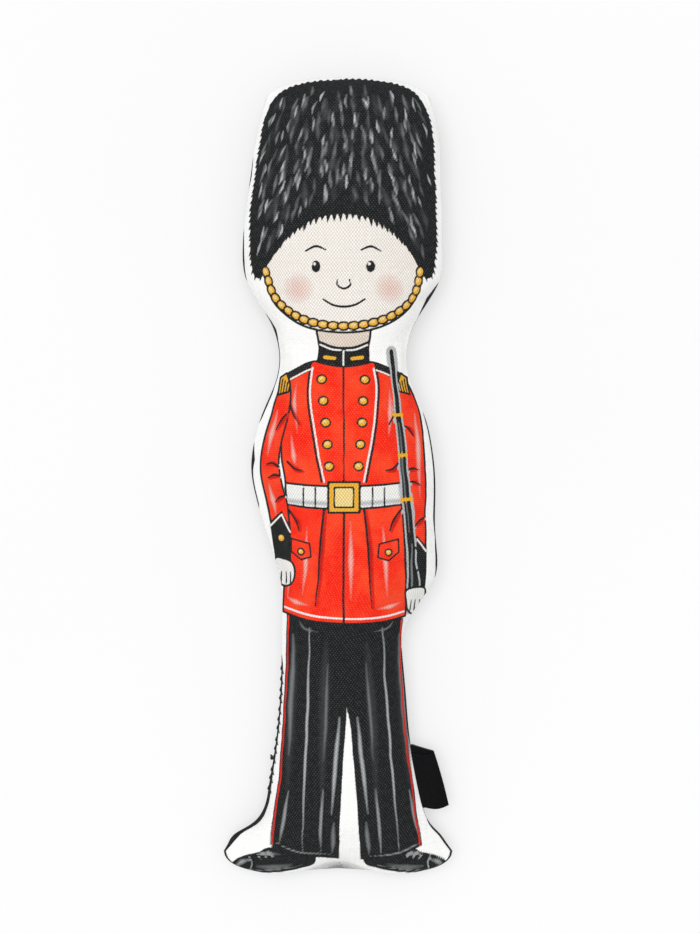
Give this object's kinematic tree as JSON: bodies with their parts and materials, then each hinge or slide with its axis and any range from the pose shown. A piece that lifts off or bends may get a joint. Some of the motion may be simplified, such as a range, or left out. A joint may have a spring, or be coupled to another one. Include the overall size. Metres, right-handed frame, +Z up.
{
  "type": "stuffed cloth toy soldier",
  "caption": "Flat stuffed cloth toy soldier in a tall fur hat and red tunic, printed canvas front and dark canvas back sewn round one outline, with a folded ribbon label in the leg seam.",
  "frame": {"origin": "on the table under the middle of the figure's bounding box, with the figure lying on its back", "axes": "+Z up out of the printed front, +Y from the shoes towards the hat, +X towards the straight arm"},
  "size_m": [0.115, 0.3996, 0.0445],
  "materials": {
    "printed_canvas": "printed plain-weave canvas",
    "dark_canvas": "plain-weave canvas",
    "fibre": "loose polyester fibre",
    "thread": "spun sewing thread",
    "ribbon": "woven satin ribbon"
  },
  "bodies": {
    "doll": {"front_panel": "printed_canvas", "back_panel": "dark_canvas", "filling_feet": "fibre", "filling_legs": "fibre", "filling_torso": "fibre", "filling_head": "fibre", "filling_hat": "fibre", "seam_thread": "thread", "closing_stitches": "thread", "closing_knot": "thread", "label_tail": "ribbon"},
    "label": {"label_flap": "ribbon"}
  },
  "joints": [
    {"name": "label_swing", "type": "hinge", "parent": "doll", "child": "label", "pos_m": [0.04062, -0.1503, 0.01343], "axis": [-0.199, 0.9798, 0.0196], "range_deg": [-85, 85], "stiffness_Nm_per_rad": 0.00002}
  ]
}
